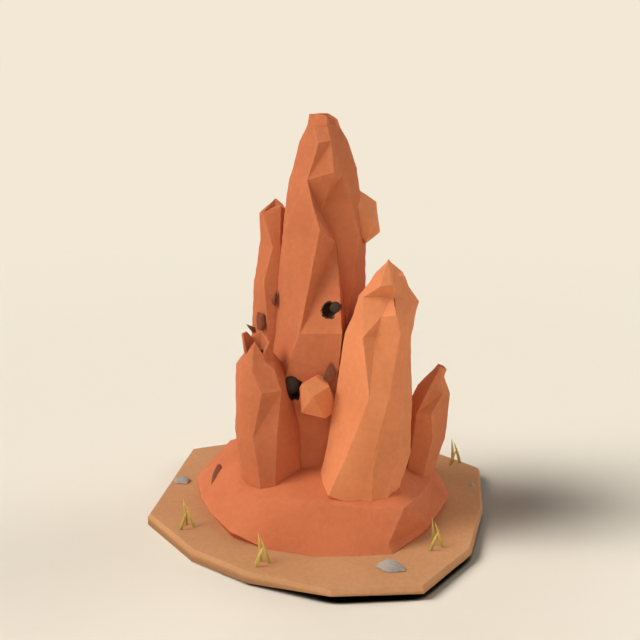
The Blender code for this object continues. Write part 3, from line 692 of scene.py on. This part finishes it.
def makeTuft(number, material):
    # each blade: a four-sided keeled section, narrowing to a point, carried up a line that bows outwards
    draw = np.random.default_rng(70 + number)
    points, faces, heights, used = [], [], [], 0
    nodes = [f"grass_tuft_{number}_blade_{k}" for k in (1, 2, 3)]
    for node in nodes:
        corners, _ = panelsOf(node)
        low, high = corners[:, 2].min(), corners[:, 2].max()
        foot = corners[corners[:, 2] < low + 0.001].mean(axis=0)
        tip = corners[corners[:, 2] > high - 0.001].mean(axis=0)
        t = np.linspace(0, 1, grass["steps"])[:, None]
        bow = grass["bow"] * draw.uniform(0.6, 1.4) * math.copysign(1, tip[0] - foot[0])
        spine = foot + (tip - foot) * t + np.array([-bow, 0, 0]) * np.sin(math.pi * t)
        half = grass["width"] / 2 * np.clip(1 - t ** grass["taper"], 0.04, 1)
        lean = draw.uniform(-grass["lean"], grass["lean"])
        wide = np.array([math.cos(lean), math.sin(lean), 0])
        deep = np.array([-math.sin(lean), math.cos(lean), 0])
        section = [(1, 0), (0, grass["keel"]), (-1, 0), (0, -grass["keel"])]
        rows = np.stack([spine + half * (a * wide + b * deep) for a, b in section], axis=1)
        grid = np.concatenate([np.broadcast_to(spine[0], (1, 4, 3)), rows, np.broadcast_to(tip, (1, 4, 3))])
        some, cells = capGrid(grid[::-1])
        faces += [[k + used for k in cell] for cell in cells]
        used += len(some)
        points.append(some)
        heights.append((some[:, 2] - low) / (high - low))
    piece = makePiece(f"grassTuft{number}", np.concatenate(points), faces, material, smooth=False)
    setValue(piece, "height", np.concatenate(heights), "POINT")
    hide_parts(*nodes)


makeGround()
looks = {name: makeLumpMaterial(name) for name in lumpLooks}
for seed, (name, (node, slot, look, rounding, height)) in enumerate(lumps.items()):
    makeLump(name, node, looks[look], rounding, height, 40 + seed)
grassLook = makeGrassMaterial()
for number in (1, 2, 3, 4):
    makeTuft(number, grassLook)
print("ground, stones, chips, plugs and grass are in")

studio = {
    "cameraPlace": (-0.03, -6.576, 3.155),
    "cameraTilt": 90 - 13.53,
    "lens": 50.0,
    "floorReach": 60.0,
    "floorFade": (3.5, 14.0),                # metres from the middle over which the floor melts into the backdrop
    "contactShade": (0.01, 0.008, 0.006),
    "contact": (0.30, 0.30, 0.62),           # reach of the contact shadow; openness where it is full, and gone
    "contactSide": (-1.1, 0.1),              # from left to right over which the contact shadow comes in
    "halo": (1.5, 2.7, 0.08),                # a faint painted shadow round the slab: full, gone, depth
    "floor": (0.86, 0.782, 0.644),
    "backdrop": (0.888, 0.807, 0.665),
    "air": 0.05,                             # light from everywhere
    "suns": (
        # name, turn and height in degrees, softness, power, what it lights
        ("key", 194.0, 44.0, 28.0, 2.02, "all"),
        ("rim", 15.0, 16.0, 25.0, 0.37, "all"),
        ("fillFrontLeft", 235.0, 25.0, 100.0, 0.60, "object"),
        ("fillFrontRight", 305.0, 25.0, 100.0, 0.74, "object"),
        ("fillBackRight", 45.0, 30.0, 100.0, 0.64, "object"),
        ("fillBackLeft", 135.0, 30.0, 100.0, 0.58, "object"),
        ("floorKey", 184.0, 41.0, 26.0, 1.83, "floor"),
        ("floorRim", 22.0, 18.0, 40.0, 1.05, "floor"),
    ),
}


def makeStage():
    reach = studio["floorReach"]
    corners = np.array([(-reach, -reach, 0), (reach, -reach, 0), (reach, reach, 0), (-reach, reach, 0)], float)
    mesh = bpy.data.meshes.new("studioFloor")
    mesh.from_pydata(corners.tolist(), [], [(0, 1, 2, 3)])
    floor = bpy.data.objects.new("studioFloor", mesh)
    bpy.context.scene.collection.objects.link(floor)
    material, tree, shader, where = startMaterial("floorPaper", 1.0, 0.0)
    shader.inputs["Emission Strength"].default_value = 1.0
    # far off, the paper stops taking light and glows like the backdrop, so no horizon shows
    away = addNode(tree, "ShaderNodeVectorMath", {"operation": "LENGTH"}, Vector=where).outputs["Value"]
    far = spread(tree, away, *studio["floorFade"])
    # painted shadow on the paper: a contact shadow where little is open round the slab's foot, coming in from left
    # to right, and a faint shadow ring round the slab
    reachUp, full, gone = studio["contact"]
    openness = addNode(tree, "ShaderNodeAmbientOcclusion", {"samples": 16}, Distance=reachUp).outputs["AO"]
    side = addNode(tree, "ShaderNodeSeparateXYZ", Vector=where).outputs["X"]
    haloFull, haloGone, haloDepth = studio["halo"]
    shut = calc(tree, "MAXIMUM", spread(tree, openness, full, gone, 1.0, 0.0),
                spread(tree, away, haloFull, haloGone, haloDepth, 0.0))
    closed = calc(tree, "MULTIPLY", shut, spread(tree, side, *studio["contactSide"]))
    lit = mixColour(tree, closed, studio["floor"], studio["contactShade"])
    black = (0.0, 0.0, 0.0)
    tree.links.new(mixColour(tree, far, lit, black), shader.inputs["Base Color"])
    tree.links.new(mixColour(tree, far, black, studio["backdrop"]), shader.inputs["Emission Color"])
    mesh.materials.append(material)
    world = bpy.data.worlds.new("studio")
    bpy.context.scene.world = world
    world.use_nodes = True
    tree = world.node_tree
    seen = tree.nodes["Background"]
    seen.inputs["Color"].default_value = (*studio["backdrop"], 1)
    cast = addNode(tree, "ShaderNodeBackground", Strength=studio["air"])
    path = addNode(tree, "ShaderNodeLightPath")
    both = tree.nodes.new("ShaderNodeMixShader")
    tree.links.new(path.outputs["Is Camera Ray"], both.inputs[0])
    tree.links.new(cast.outputs[0], both.inputs[1])
    tree.links.new(seen.outputs[0], both.inputs[2])
    tree.links.new(both.outputs[0], tree.nodes["World Output"].inputs["Surface"])
    return floor


def makeLights(floor):
    # Each sun's turn is the side it shines from, counted from the right towards the back. The floor's own
    # share of the light is set apart from the object's.
    lists = {}
    for target, state in (("floor", "INCLUDE"), ("object", "EXCLUDE")):
        lists[target] = bpy.data.collections.new("lit_" + target)
        lists[target].objects.link(floor)
        lists[target].collection_objects[0].light_linking.link_state = state
    for name, turn, height, softness, power, target in studio["suns"]:
        light = bpy.data.lights.new(name, "SUN")
        light.energy = power
        light.angle = math.radians(softness)
        sun = bpy.data.objects.new(name, light)
        sun.rotation_euler = (0, math.radians(90 - height), math.radians(turn))
        bpy.context.scene.collection.objects.link(sun)
        if target in lists:
            sun.light_linking.receiver_collection = lists[target]


def makeCamera():
    camera = bpy.data.objects.new("camera", bpy.data.cameras.new("camera"))
    camera.data.lens = studio["lens"]
    camera.location = studio["cameraPlace"]
    camera.rotation_euler = (math.radians(studio["cameraTilt"]), 0, 0)
    bpy.context.scene.collection.objects.link(camera)
    bpy.context.scene.camera = camera
    bpy.context.scene.view_settings.view_transform = "Standard"


makeLights(makeStage())
makeCamera()
print("stage: floor, light and camera are set")
